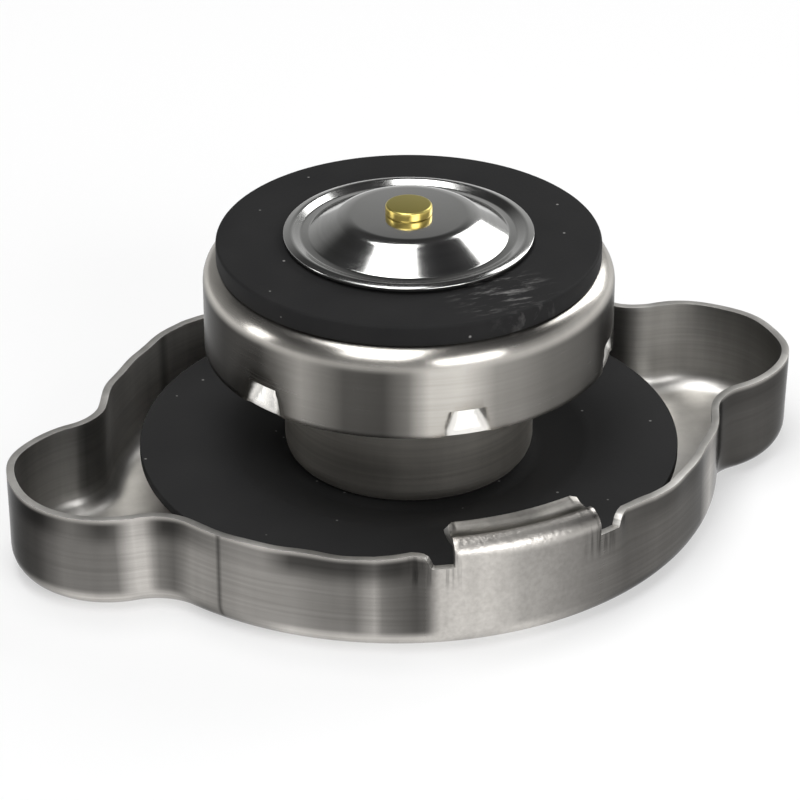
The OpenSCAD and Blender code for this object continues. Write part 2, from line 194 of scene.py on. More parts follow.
# Cap shell: one stamping of satin stainless sheet with a raised seat in the middle, an upturned skirt that
# swells into two finger lobes, and two locking tabs folded inward between relief notches.
# Its edge is left as sheared. The bright and dark bands down the skirt are painted reflections, with painted
# shade towards the rim.
mm = 0.001
shell_t = 0.8
shell_h = 11.0
side_r = 34.0
side_y = 30.9
side_end_x = 30.0
lobe_tip = 43.6
lobe_r = 10.4
blend_r = 5.0
crown_bend = 3.0
seat_r = 13.6
well_depth = 4.0
well_bend = 1.0
rivet_hole = 2.55
tab_width = 16.8
tab_reach = 4.6
tab_top = 12.3
tab_bend = 1.8
lip_round = 0.6
lip_sag = 0.5
lip_sag_lean = 0.8
notch_width = 1.9
notch_z = 9.8
rim_round = 1.3
rim_round_depth = 0.9
dip_depth = 0.85
dip_middle = 1.8
dip_end = 5.6
wave_in = 0.17
wave_in_counts = (16, 30)
wave_down = 0.09
wave_down_counts = (14, 32)
tab_half = math.asin(tab_width / 2 / side_r)
notch_half = tab_half + notch_width / side_r
lip_face = 3
fade_low = 7.2
galled_low = 6.6
galled_high = 9.2
crest_low = 10.3
crest_high = 11.2


def plan_quarter():
    """The skirt's outer line from the middle of a tab to the tip of a lobe: point, normal and zone."""
    side = Vector((0, side_y - side_r))
    lobe = Vector((lobe_tip - lobe_r, 0))
    span = lobe - side
    a = side_r + blend_r
    b = lobe_r + blend_r
    turn = math.acos((a * a + span.length_squared - b * b) / (2 * a * span.length))
    blend_at = math.atan2(span.y, span.x) + turn
    centre = side + a * Vector((math.cos(blend_at), math.sin(blend_at)))
    nose_at = math.atan2(centre.y - lobe.y, centre.x - lobe.x)
    top = math.pi / 2
    stretches = (
        ("tab", side, side_r, 1, top, top - tab_half, 18),
        ("notch", side, side_r, 1, top - tab_half, top - notch_half, 8),
        ("rim", side, side_r, 1, top - notch_half, blend_at, 56),
        ("rim", centre, blend_r, -1, blend_at + math.pi, nose_at + math.pi, 20),
        ("rim", lobe, lobe_r, 1, nose_at, 0.0, 36),
    )
    points = []
    for zone, middle, radius, sign, start, end, steps in stretches:
        for i in range(steps):
            angle = start + (end - start) * i / steps
            way = Vector((math.cos(angle), math.sin(angle)))
            points.append((middle + radius * way, sign * way, zone))
    points.append((Vector((lobe_tip, 0)), Vector((1, 0)), "rim"))
    return points


def plan_loop():
    """The whole outer line, from four mirrored quarters."""
    quarter = plan_quarter()
    back = quarter[::-1]
    points = []
    for line, sx, sy in ((quarter, 1, 1), (back, 1, -1), (quarter, -1, -1), (back, -1, 1)):
        for p, n, zone in line[:-1]:
            points.append((Vector((sx * p.x, sy * p.y)), Vector((sx * n.x, sy * n.y)), zone))
    return points


def notch_gap(p):
    """How far a point on a long side of the skirt is from the nearest notch. The lobes count as far."""
    if abs(p.x) >= side_end_x:
        return math.inf
    angle = math.atan2(abs(p.x), abs(p.y) + side_r - side_y)
    return max(0.0, (angle - notch_half) * side_r)


def smooth_step(x, low, high):
    """Rises smoothly from 0 to 1 between two values."""
    t = min(1.0, max(0.0, (x - low) / (high - low)))
    return t * t * (3 - 2 * t)


def wander(turn, strong, weak):
    """A slow unevenness round the rim, from -1 to 1, alike on both halves."""
    return 0.6 * math.sin(strong * turn + 0.6) + 0.4 * math.sin(weak * turn + 2.2)


loop = plan_loop()
columns = range(len(loop))
turns = [math.atan2(p.y, p.x) for p, n, zone in loop]
gaps = [notch_gap(p) for p, n, zone in loop]


def skirt_place(i, inset, z):
    """A place on the skirt, inset from the outer line and at height z.

    Forming leaves a dip beside each tab. Towards the rim the wall wanders in and out, as a free edge does.
    """
    p, n, zone = loop[i]
    dip = 0.0
    if zone == "rim":
        fold = min(gaps[i] / dip_middle, (dip_end - gaps[i]) / (dip_end - dip_middle))
        dip = dip_depth * max(0.0, fold) + wave_in * wander(turns[i], *wave_in_counts)
    q = p - (inset + dip * smooth_step(z, crown_bend, shell_h)) * n
    return (q.x * mm, q.y * mm, z * mm)


def rounded(s, radius):
    """How far an edge falls back at the distance s from its rounded corner."""
    return radius - math.sqrt(radius ** 2 - (radius - min(s, radius)) ** 2)


def rim_height(i):
    """The rim is rounded off where it meets a notch, and isn't quite even."""
    corner = rim_round_depth * rounded(gaps[i], rim_round)
    return shell_h - corner - wave_down * (1 + wander(turns[i], *wave_down_counts))


def arc(r, z, bend, start, end, steps):
    """Points of a bend about (r, z), from one angle to another in degrees, with both ends."""
    angles = [math.radians(start + (end - start) * i / steps) for i in range(steps + 1)]
    return [(r + bend * math.cos(a), z + bend * math.sin(a)) for a in angles]


def circle(radius, z, at):
    """Places on a level circle at the given turns."""
    return [(radius * mm * math.cos(t), radius * mm * math.sin(t), z * mm) for t in at]


def first_row(bm, places):
    """A closed row of vertices."""
    made = bmesh.ops.create_circle(bm, cap_ends=False, segments=len(places), radius=mm)["verts"]
    made = sorted(made, key=lambda v: v.index)
    for v, place in zip(made, places):
        v.co = place
    return made


def grow(bm, old_row, places, closed=True):
    """Extrudes a row of vertices and moves the new row to its places."""
    ends = old_row[1:] + old_row[:1] if closed else old_row[1:]
    made = bmesh.ops.extrude_edge_only(bm, edges=[bm.edges.get(pair) for pair in zip(old_row, ends)])
    fresh = {v for v in made["geom"] if isinstance(v, bmesh.types.BMVert)}
    new_row = []
    for v in old_row:
        new_row.append(next(e.other_vert(v) for e in v.link_edges if e.other_vert(v) in fresh))
    for v, place in zip(new_row, places):
        v.co = place
    return new_row


def face_outward(bm):
    """Turns all faces over if the one furthest along X looks inward."""
    bm.normal_update()
    if max(bm.faces, key=lambda f: f.calc_center_median().x).normal.x < 0:
        bmesh.ops.reverse_faces(bm, faces=bm.faces)


def zone_runs(zone):
    """The unbroken runs of columns in one zone."""
    start = next(k for k in columns if loop[k][2] == "notch" and loop[k - 1][2] != "notch")
    runs = []
    for step in columns:
        k = (start + step) % len(loop)
        if loop[k][2] != zone:
            continue
        if runs and (runs[-1][-1] + 1) % len(loop) == k:
            runs[-1].append(k)
        else:
            runs.append([k])
    return runs


# from the rivet's hole over the seat and down the well's side, out to the skirt and up to the notches
outer_bend = well_bend + shell_t
well_edge = seat_r + well_bend + outer_bend
well_line = [(6.0, well_depth), (10.0, well_depth)]
well_line += arc(seat_r, well_depth - well_bend, well_bend, 90, 0, 5)
well_line += arc(well_edge, outer_bend, outer_bend, 180, 270, 6)
shell_bm = bmesh.new()
row = first_row(shell_bm, circle(rivet_hole, well_depth, turns))
for radius, z in well_line:
    row = grow(shell_bm, row, circle(radius, z, turns))
crown_start = circle(well_edge, 0, turns)
for share in (0.25, 0.5, 0.75, 1.0):
    places = []
    for k in columns:
        places.append(Vector(crown_start[k]).lerp(Vector(skirt_place(k, crown_bend, 0)), share))
    row = grow(shell_bm, row, places)
for radius, z in arc(0, crown_bend, crown_bend, 270, 360, 8)[1:]:
    row = grow(shell_bm, row, [skirt_place(k, crown_bend - radius, z) for k in columns])
for z in (4.4, 5.8, 7.2, 8.6, notch_z):
    row = grow(shell_bm, row, [skirt_place(k, 0, z) for k in columns])

# the rim stands on the row at the notches' floor, and the tabs rise from it and fold inward
notch_row = row
for run in zone_runs("rim"):
    line = [notch_row[k] for k in run]
    for share in (0.5, 1.0):
        places = [skirt_place(k, 0, notch_z + (rim_height(k) - notch_z) * share) for k in run]
        line = grow(shell_bm, line, places, closed=False)
lip_length = tab_reach - tab_bend
lip_steps = 6
tab_line = [(tab_bend - r, z) for r, z in arc(0, tab_top - tab_bend, tab_bend, 0, 90, 7)]
for i in range(1, lip_steps + 1):
    share = i / lip_steps
    sag = lip_sag * math.sin(math.pi * share ** lip_sag_lean)
    tab_line.append((tab_bend + lip_length * share, tab_top - sag))
lip_start = tab_bend + 0.001
for run in zone_runs("tab"):
    line = [notch_row[k] for k in run]
    first, last = loop[run[0]][0], loop[run[-1]][0]
    for inset, z in tab_line:
        lip_share = max(0.0, (inset - tab_bend) / lip_length)
        places = []
        for k in run:
            p = loop[k][0]
            short = rounded(min((p - first).length, (p - last).length), lip_round)
            places.append(skirt_place(k, inset - short * lip_share, z))
        last_line = line
        line = grow(shell_bm, line, places, closed=False)
        if inset > lip_start:
            for pair in zip(last_line, line):
                for face in shell_bm.edges.get(pair).link_faces:
                    face.material_index = lip_face
face_outward(shell_bm)


def new_group(name, inputs, outputs):
    """A node group with the named sockets."""
    group = bpy.data.node_groups.new(name, "ShaderNodeTree")
    for way, sockets in (("INPUT", inputs), ("OUTPUT", outputs)):
        for label, kind in sockets.items():
            group.interface.new_socket(name=label, in_out=way, socket_type="NodeSocket" + kind)
    return group


def give_out(group, results):
    """Ends a node group: each result goes to the output of its name."""
    fill(group, group.nodes.new("NodeGroupOutput"), results)


def noise(tree, scale, detail, roughness=0.5, stretch=None, turn=0.0):
    """Soft noise on the piece's own coordinates; stretch scales the three directions one by one."""
    where = add(tree, "TexCoord").outputs["Object"]
    if stretch:
        where = add(tree, "Mapping", {"Vector": where, "Rotation": (0, 0, turn), "Scale": stretch}).outputs[0]
    inputs = {"Vector": where, "Scale": scale, "Detail": detail, "Roughness": roughness}
    return add(tree, "TexNoise", inputs).outputs["Fac"]


def blend(tree, share, first, second, kind=None):
    """Mixes two numbers, or two colours in the way that kind names."""
    settings = {"data_type": "RGBA", "blend_type": kind} if kind else {}
    return add(tree, "Mix", {"Factor": share, "A": first, "B": second}, **settings).outputs["Result"]


def brushed_sheet_group():
    """Rolled and drawn sheet: slow blotches, fine lines round the piece, upright streaks and small pits."""
    group = new_group(
        "brushed_sheet",
        {"Light": "Color", "Dark": "Color", "Roughness": "Float", "Streaks": "Float", "Grain": "Float"},
        {"Color": "Color", "Roughness": "Float", "Height": "Float"},
    )
    given = group.nodes.new("NodeGroupInput").outputs
    pits = noise(group, 1900, 2)
    lines = blend(group, given["Grain"], noise(group, 1.0, 4, stretch=(60, 60, 3200)), 0.5)
    blotch = calc(group, "MULTIPLY", noise(group, 110, 5), 0.45)
    mixed = calc(group, "MULTIPLY_ADD", lines, 0.55, blotch)
    mottle = calc(group, "MULTIPLY_ADD", pits, 0.5, -0.25)
    peel = calc(group, "MULTIPLY_ADD", mottle, given["Grain"], mixed)
    tone = blend(group, remap(group, peel, 0.35, 0.65), given["Dark"], given["Light"], "MIX")
    streaks = remap(group, noise(group, 1.0, 5, 0.6, stretch=(110, 110, 6)), 0.36, 0.60)
    rough = calc(group, "MULTIPLY_ADD", mixed, 0.10, calc(group, "SUBTRACT", given["Roughness"], 0.05))
    depth = calc(group, "MULTIPLY_ADD", given["Grain"], 7.0, 0.5)
    give_out(group, {
        "Color": blend(group, given["Streaks"], tone, streaks, "MULTIPLY"),
        "Roughness": calc(group, "MULTIPLY_ADD", given["Grain"], 0.14, rough),
        "Height": calc(group, "MULTIPLY_ADD", pits, depth, lines),
    })
    return group


def place_of(tree):
    """The X, Y and Z of a place on the piece."""
    return add(tree, "SeparateXYZ", {0: add(tree, "TexCoord").outputs["Object"]}).outputs


def turn_share(tree, place, start, span=180):
    """The angle of a place round Z, as a share of each span of degrees from start."""
    angle = calc(tree, "ARCTAN2", place["Y"], place["X"])
    return calc(tree, "FRACT", calc(tree, "MULTIPLY_ADD", angle, 180 / span / math.pi, -start / span))


def round_ramp(tree, share, start, stops):
    """A tone that changes with the angle over half a turn; stops are pairs of degrees and tone."""
    places = [((degrees - start) / 180, tone) for degrees, tone in stops]
    return tone_ramp(tree, share, places).outputs["Color"]


def height_step(tree, place, low, high):
    """Rises smoothly from 0 to 1 between two heights in millimetres."""
    return remap(tree, place["Z"], low * mm, high * mm, smooth=True)


def painted_reflection_bands_group(name, start, bands, rim_shades, bend_reflections, foot_from, foot_to, crest_highlight=None):
    """Painted reflections: bright and dark bands down a skirt by angle, alike on both halves.

    The second table paints shade over the bands towards the cut edge, and the third paints the reflection
    where the wall bends.
    The crest is one painted highlight tone for the folds that stand above the rim.
    """
    group = new_group(name, {}, {"Tone": "Float"})
    place = place_of(group)
    share = turn_share(group, place, start)
    edge = height_step(group, place, fade_low, notch_z)
    fade = calc(group, "MULTIPLY", round_ramp(group, share, start, rim_shades), edge)
    left = calc(group, "SUBTRACT", 1.0, fade)
    wall = calc(group, "MULTIPLY", round_ramp(group, share, start, bands), left)
    foot = height_step(group, place, foot_from, foot_to)
    tone = blend(group, foot, wall, round_ramp(group, share, start, bend_reflections))
    if crest_highlight:
        tone = blend(group, height_step(group, place, crest_low, crest_high), tone, crest_highlight)
    give_out(group, {"Tone": tone})
    return group


def drag_marks_group():
    """Marks of the press: galling below the notches, one fine upright line, and orange peel on the tabs."""
    group = new_group("drag_marks", {}, {"Tone": "Float", "Grain": "Float"})
    start = -180
    place = place_of(group)
    share = turn_share(group, place, start)
    scrape = remap(group, noise(group, 1.0, 3, stretch=(1500, 1500, 110)), 0.50, 0.72, 0.0, 0.8)
    near = round_ramp(group, share, start, (
        (-180, 0), (-115, 0), (-112, 1), (-105, 1), (-102, 0), (-80, 0), (-77, 1), (-71, 1), (-67, 0), (0, 0),
    ))
    below = height_step(group, place, galled_low, galled_high)
    galled = calc(group, "MULTIPLY", calc(group, "MULTIPLY", near, scrape), below)
    line = round_ramp(group, share, start, (
        (-180, 1), (-149.3, 1), (-149.0, 0.2), (-148.7, 0.2), (-148.4, 1), (0, 1),
    ))
    give_out(group, {
        "Tone": calc(group, "MULTIPLY", line, calc(group, "SUBTRACT", 1.0, galled)),
        "Grain": round_ramp(group, share, start, (
            (-180, 0), (-111, 0), (-108, 1), (-85, 1), (-72, 0), (0, 0),
        )),
    })
    return group


brushed_sheet = brushed_sheet_group()


def metal(name, light, dark, roughness):
    """A bright metal with the brushed sheet effect, whose node is named sheet."""
    material, tree, shader = new_material(name)
    effect = add(tree, "Group", node_tree=brushed_sheet, name="sheet")
    fill(tree, effect, {"Light": (*light, 1), "Dark": (*dark, 1), "Roughness": roughness})
    fill(tree, shader, {
        "Metallic": 1.0, "Base Color": effect.outputs["Color"], "Roughness": effect.outputs["Roughness"],
    })
    return material


def add_relief(material, height, strength):
    """Fine bumps on a material."""
    tree = material.node_tree
    dent = add(tree, "Bump", {"Strength": strength, "Distance": 0.00004, "Height": height})
    fill(tree, tree.nodes["Principled BSDF"], {"Normal": dent.outputs["Normal"]})


def sheet_steel(name, light, dark, roughness, bump, stretch=0.0, streaks=0.0, bands=None, marks=None):
    """A satin steel that draws its highlights out across the brushing, with the marks of its forming and any
    painted reflection bands.
    """
    material = metal(name, light, dark, roughness)
    tree = material.node_tree
    effect = tree.nodes["sheet"]
    shader = tree.nodes["Principled BSDF"]
    fill(tree, effect, {"Streaks": streaks})
    fill(tree, shader, {
        "Specular Tint": (0.6, 0.6, 0.6, 1), "Anisotropic": stretch, "Anisotropic Rotation": 0.25,
    })
    # the painted reflection and shade bands multiply the sheet's colour
    if bands:
        tone = add(tree, "Group", node_tree=bands).outputs["Tone"]
        if marks:
            drag = add(tree, "Group", node_tree=marks).outputs
            tone = calc(tree, "MULTIPLY", tone, drag["Tone"])
            fill(tree, effect, {"Grain": drag["Grain"]})
        fill(tree, shader, {"Base Color": blend(tree, 1.0, effect.outputs["Color"], tone, "MULTIPLY")})
    add_relief(material, effect.outputs["Height"], bump)
    if stretch:
        grain = add(tree, "Tangent", direction_type="RADIAL", axis="Z")
        fill(tree, shader, {"Tangent": grain.outputs["Tangent"]})
    return material


def place_piece(name, bm, material, body, node, sharp=35):
    """Turns a bmesh into a piece that rides on a body and stands for a node."""
    mesh = bpy.data.meshes.new(name)
    bm.to_mesh(mesh)
    bm.free()
    mesh.shade_smooth()
    mesh.set_sharp_from_angle(angle=math.radians(sharp))
    mesh.materials.append(material)
    obj = bpy.data.objects.new(name, mesh)
    scene.collection.objects.link(obj)
    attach(obj, body)
    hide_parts(node)
    return obj


def thicken(obj, thickness, edge_width, edge_steps):
    """Gives a surface the thickness of its sheet and breaks the cut edges."""
    depth = obj.modifiers.new("sheet", "SOLIDIFY")
    depth.thickness = thickness * mm
    depth.offset = -1
    depth.use_even_offset = False
    depth.material_offset_rim = 1
    edge = obj.modifiers.new("cut_edge", "BEVEL")
    edge.width = edge_width * mm
    edge.segments = edge_steps
    edge.limit_method = "ANGLE"
    edge.angle_limit = math.radians(50)
    return depth


# the cut edges are lighter than the sheet: partly the bright sheared edge, partly a painted highlight along
# the rim
cut_steel = sheet_steel(
    "cut_steel", (0.90, 0.88, 0.84), (0.40, 0.39, 0.37), roughness=0.46, bump=0.60, streaks=0.35,
)
# the lips are a darker copy of the shell steel: painted shade, as they face the dark air
lip_shade_steel = sheet_steel(
    "lip_shade_steel", (0.70, 0.675, 0.63), (0.34, 0.325, 0.30), roughness=0.30, bump=0.50, streaks=0.5,
)
# painted reflection bands by angle on the inside of the skirt, and a painted reflection at its foot
mill_reflection_bands = painted_reflection_bands_group("mill_reflection_bands", start=-180, bands=(
    (-180, 0.40), (-170, 0.42), (-164.5, 0.88), (-162.5, 0.8), (-160, 0.25), (-150, 0.27), (-75, 0.30),
    (-66, 0.85), (-55, 0.85), (-53, 0.4), (-51, 0.9), (-40, 0.9), (-25, 0.5), (-18, 0.35), (-16.5, 0.2),
    (-14.5, 0.65), (0, 0.40),
), rim_shades=((-180, 0),), bend_reflections=((-180, 0.8),), foot_from=3.6, foot_to=1.0)
mill_steel = sheet_steel(
    "mill_steel", (0.95, 0.93, 0.89), (0.78, 0.76, 0.725),
    roughness=0.40, bump=0.10, stretch=0.3, streaks=0.25, bands=mill_reflection_bands,
)
# painted reflections on the skirt by angle, painted shade towards the rim, a painted reflection of the floor
# along the foot and a painted highlight along the tab folds
shell_reflection_bands = painted_reflection_bands_group("shell_reflection_bands", start=-180, bands=(
    (-180, 0.05), (-174, 0.09), (-170, 0.26), (-164.5, 0.28), (-162.8, 1.0), (-161.4, 0.34), (-159, 0.20),
    (-155, 0.52), (-135, 0.42), (-123, 0.30), (-119.5, 0.60), (-118, 0.32), (-112, 0.14), (-110, 0.18),
    (-107.5, 0.85), (-104, 1.0), (-98, 0.95), (-92, 0.56), (-82, 0.42), (-68, 0.17), (-60, 0.22), (-42, 0.14),
    (-36, 0.9), (-28, 0.15), (-9, 0.12), (0, 0.05),
), rim_shades=(
    (-180, 0.6), (-173, 0.7), (-169, 0.1), (-165.5, 0.7), (-163, 0.05), (-160.5, 0.75), (-147, 0.2),
    (-140, 0.2), (-135, 0.77), (-115, 0.7), (-108, 0), (-70, 0), (-60, 0.4), (-9, 0.2), (0, 0.6),
), bend_reflections=(
    (-180, 0.2), (-168, 0.95), (-160, 0.7), (-153, 0.25), (-140, 0.6), (-135, 1.0), (-90, 0.95), (-72, 0.2),
    (-64, 0.05), (-9, 0.1), (0, 0.2),
), foot_from=2.8, foot_to=1.5, crest_highlight=0.9)
shell_steel = sheet_steel(
    "shell_steel", (0.73, 0.70, 0.66), (0.57, 0.545, 0.51),
    roughness=0.24, bump=0.16, stretch=0.5, streaks=0.2, bands=shell_reflection_bands, marks=drag_marks_group(),
)
shell_piece = place_piece(
    "stamped_shell", shell_bm, shell_steel, "shell", "cap_shell", sharp=60,
)
# after the wall come its cut edge and its inside, then the same three for the lips, from lip_face on
for material in (cut_steel, mill_steel, lip_shade_steel, cut_steel, mill_steel):
    shell_piece.data.materials.append(material)
shell_depth = thicken(shell_piece, shell_t, edge_width=0.25, edge_steps=3)
shell_depth.use_quality_normals = True
shell_depth.material_offset = 2


# Centre rivet: a plain steel rivet, headed in the well of the shell. It holds the bell, the gasket and the
# sprung disc, which turn on it together. It keeps its CAD shape.
def dress(node, material):
    """Gives a CAD solid its finish."""
    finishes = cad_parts[node].data.materials
    finishes.clear()
    finishes.append(material)


rivet_steel = sheet_steel("rivet_steel", (0.52, 0.52, 0.52), (0.40, 0.40, 0.40), roughness=0.30, bump=0.08)
dress("centre_rivet", rivet_steel)


# Spring disc: thin sprung steel, clamped by the rivet behind the gasket, which it presses against the neck.
# It is blanked and dished, is hidden by the gasket, and keeps its CAD shape.
disc_steel = sheet_steel("disc_steel", (0.50, 0.50, 0.51), (0.42, 0.42, 0.43), roughness=0.25, bump=0.05)
dress("spring_disc", disc_steel)


# Neck gasket: a thin disc of black rubber, clamped under the bell's foot and dished up to a flat ring.
# It is cut from sheet, so its edge is crisp, and dust clings to it.
gasket_hole = 2.5
gasket_r = 28.3
gasket_t = 1.0
gasket_low = 5.2
gasket_rise = 1.2
slope_from = 13.8
slope_to = 18.8
slope_bend = 4


def turned(corners, steps=160):
    """Turns an outline of (radius, height, rounding) corners about Z. One from the axis stays open."""
    bm = bmesh.new()
    same = 2e-7
    bend_steps = 6
    verts = [bm.verts.new((r * mm, 0, z * mm)) for r, z, rounding in corners]
    ends = verts[1:] + verts[:1] if corners[0][0] > 0 else verts[1:]
    edges = [bm.edges.new(pair) for pair in zip(verts, ends)]
    bmesh.ops.spin(
        bm, geom=verts + edges, cent=(0, 0, 0), axis=(0, 0, 1), dvec=(0, 0, 0),
        angle=2 * math.pi, steps=steps, use_merge=True, use_duplicate=False,
    )
    bmesh.ops.remove_doubles(bm, verts=bm.verts, dist=1e-7)
    for k, (r, z, rounding) in enumerate(corners):
        if rounding <= 0:
            continue
        before = Vector(corners[k - 1][:2])
        here = Vector((r, z))
        after = Vector(corners[(k + 1) % len(corners)][:2])
        bend = (here - before).angle(after - here)
        on_corner = {
            v for v in bm.verts
            if abs(math.hypot(v.co.x, v.co.y) - r * mm) < same and abs(v.co.z - z * mm) < same
        }
        ring = [e for e in bm.edges if on_corner.issuperset(e.verts)]
        bmesh.ops.bevel(
            bm, geom=ring, offset=rounding * mm * math.tan(bend / 2), offset_type="OFFSET",
            segments=bend_steps, profile=0.5, affect="EDGES", material=-1, clamp_overlap=True,
        )
    bmesh.ops.recalc_face_normals(bm, faces=bm.faces)
    return bm


def rubber_dust_group():
    """Dusty moulded rubber: fine grain, sparse pale specks and a soft bloom."""
    group = new_group(
        "rubber_dust",
        {"Rubber": "Color", "Dust": "Color", "Amount": "Float"},
        {"Color": "Color", "Roughness": "Float", "Height": "Float"},
    )
    given = group.nodes.new("NodeGroupInput").outputs
    where = add(group, "TexCoord").outputs["Object"]
    cells = add(group, "TexVoronoi", {"Vector": where, "Scale": 520, "Randomness": 1.0}).outputs
    dot = remap(group, cells["Distance"], 0.09, 0.05)
    lot = add(group, "SeparateColor", {"Color": cells["Color"]}).outputs["Red"]
    speck = calc(group, "MULTIPLY", dot, calc(group, "GREATER_THAN", lot, 0.78))
    bloom = noise(group, 160, 6)
    haze = calc(group, "MULTIPLY_ADD", bloom, 0.05, speck)
    share = calc(group, "MULTIPLY", haze, given["Amount"], clamp=True)
    give_out(group, {
        "Color": blend(group, share, given["Rubber"], given["Dust"], "MIX"),
        "Roughness": remap(group, bloom, 0.0, 1.0, 0.50, 0.72),
        "Height": noise(group, 2600, 3),
    })
    return group


rubber_dust = rubber_dust_group()


def black_rubber(name, colour, amount):
    """Matt black rubber with some dust."""
    material, tree, shader = new_material(name)
    effect = add(tree, "Group", node_tree=rubber_dust)
    fill(tree, effect, {"Rubber": (*colour, 1), "Dust": (0.55, 0.54, 0.52, 1), "Amount": amount})
    fill(tree, shader, {
        "Specular IOR Level": 0.07,
        "Base Color": effect.outputs["Color"], "Roughness": effect.outputs["Roughness"],
    })
    add_relief(material, effect.outputs["Height"], 0.25)
    return material


gasket_rubber = black_rubber("gasket_rubber", (0.020, 0.020, 0.0205), 0.36)
ring_low = gasket_low + gasket_rise
gasket_bm = turned([
    (gasket_hole, gasket_low, 0), (slope_from, gasket_low, slope_bend),
    (slope_to, ring_low, slope_bend), (gasket_r, ring_low, 0.1),
    (gasket_r, ring_low + gasket_t, 0.15), (slope_to, ring_low + gasket_t, slope_bend),
    (slope_from, gasket_low + gasket_t, slope_bend), (gasket_hole, gasket_low + gasket_t, 0),
])
place_piece("neck_seal_disc", gasket_bm, gasket_rubber, "housing", "neck_gasket")


# Spring housing: a deep-drawn steel bell, riveted through its floor on top of the gasket.
# Its flange carries the valve cup. The plating is duller and darker than the shell's stainless.
bell_r = 13.0
bell_t = 0.7
bell_low = 6.2
flange_r = 19.7
flange_low = 21.9
bell_in = bell_r - bell_t
bell_floor = bell_low + bell_t
flange_top = flange_low + bell_t
housing_steel = sheet_steel(
    "housing_steel", (0.78, 0.745, 0.68), (0.63, 0.60, 0.55),
    roughness=0.44, bump=0.10, stretch=0.3, streaks=0.15,
)
housing_bm = turned([
    (gasket_hole, bell_low, 0), (bell_r, bell_low, 2.0),
    (bell_r, flange_low, 1.0), (flange_r, flange_low, 0.15),
    (flange_r, flange_top, 0.15), (bell_in, flange_top, 1.6),
    (bell_in, bell_floor, 1.3), (gasket_hole, bell_floor, 0),
])
place_piece("drawn_bell", housing_bm, housing_steel, "housing", "spring_housing")


# Main spring: round hard-drawn wire, wound with closed ends. It stands on the bell's floor and presses
# the valve cup up until the cup's flaps meet the flange.
def wound(coil_r, wire, bottom, length, closed_turns, all_turns):
    """A coil of round wire: closed turns at both ends and open turns between."""
    wire_sides = 14
    steps_per_turn = 44
    closed_pitch = 1.04 * wire
    bm = bmesh.new()
    ring = bmesh.ops.create_circle(bm, cap_ends=False, segments=wire_sides, radius=wire / 2 * mm)["verts"]
    for v in ring:
        v.co = (coil_r * mm + v.co.x, 0, (bottom + wire / 2) * mm + v.co.y)
    closed_rise = closed_pitch * closed_turns
    open_turns = all_turns - 2 * closed_turns
    open_rise = length - wire - 2 * closed_rise
    closed_part = (closed_turns, closed_rise)
    geom = list(ring) + list({e for v in ring for e in v.link_edges})
    for part_turns, rise in (closed_part, (open_turns, open_rise), closed_part):
        steps = int(steps_per_turn * part_turns)
        made = bmesh.ops.spin(
            bm, geom=geom, cent=(0, 0, 0), axis=(0, 0, 1), dvec=(0, 0, rise * mm / steps),
            angle=2 * math.pi * part_turns, steps=steps, use_merge=False, use_duplicate=False,
        )
        geom = made["geom_last"]
    bmesh.ops.holes_fill(bm, edges=[e for e in bm.edges if e.is_boundary], sides=0)
    bmesh.ops.recalc_face_normals(bm, faces=bm.faces)
    return bm


wire_steel = sheet_steel("wire_steel", (0.42, 0.42, 0.43), (0.30, 0.30, 0.31), roughness=0.30, bump=0.05)
main_bm = wound(coil_r=10.3, wire=2.0, bottom=bell_floor, length=20.8, closed_turns=1.0, all_turns=6.5)
main_piece = place_piece("main_coil", main_bm, wire_steel, "housing", "main_spring")
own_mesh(main_piece)


# Valve cup: a drawn cup of satin stainless with a raised boss for the seal and four flow ports in the boss.
# Six flaps lanced in its skirt lean inward under the bell's flange and keep the cup from coming off.
cup_r = 21.2
cup_t = 0.8
cup_rim = 19.0
cup_top = 28.5
shoulder_bend = 2.2
boss_r = 7.0
boss_bend = 1.3
boss_foot_bend = 0.3
boss_top = 30.4
pin_hole = 1.58
port_ring = 5.125
port_r = 1.1
port_least = 0.04
flap_top = 21.8
flap_slit = 0.02
flap_push = 1.2
flap_rim_push = 0.25
flap_start = 22.8
flap_pitch = 60
flap_full = 2.6
flap_end = 4.9
flap_flare = 2.7
spot_top = 0.064
spot_rim = 0.108
spot_blur = 0.010
cup_columns = 360
cup_turns = [math.radians(flap_start + 360 * k / cup_columns) for k in range(cup_columns)]


def from_port(t):
    """The angle from the nearest of the four flow ports round the pin."""
    return t % (math.pi / 2) - math.pi / 4


def port_row(side):
    """The near or far edge of all four ports as one row, closed to a slit between the ports."""
    places = []
    for t in cup_turns:
        across = port_r ** 2 - (port_ring * math.sin(from_port(t))) ** 2
        radius = port_ring * math.cos(from_port(t)) + side * math.sqrt(max(port_least ** 2, across))
        places.append((radius * mm * math.cos(t), radius * mm * math.sin(t), boss_top * mm))
    return places


def from_flap(k):
    """The degrees from a column to the middle of the nearest flap."""
    half = flap_pitch // 2
    return abs((k + half) % flap_pitch - half)


def flap_row(z):
    """A row of the skirt at height z, pushed inward at the six flaps, which widen towards the rim."""
    rise = (z - cup_rim) / (flap_top - cup_rim)
    flare = flap_flare * (flap_top - z) / (flap_top - cup_rim)
    places = []
    for k, t in enumerate(cup_turns):
        full = 1.0 - smooth_step(from_flap(k), flap_full + flare, flap_end + flare)
        radius = cup_r - full * (flap_rim_push + (flap_push - flap_rim_push) * rise)
        places.append((radius * mm * math.cos(t), radius * mm * math.sin(t), z * mm))
    return places


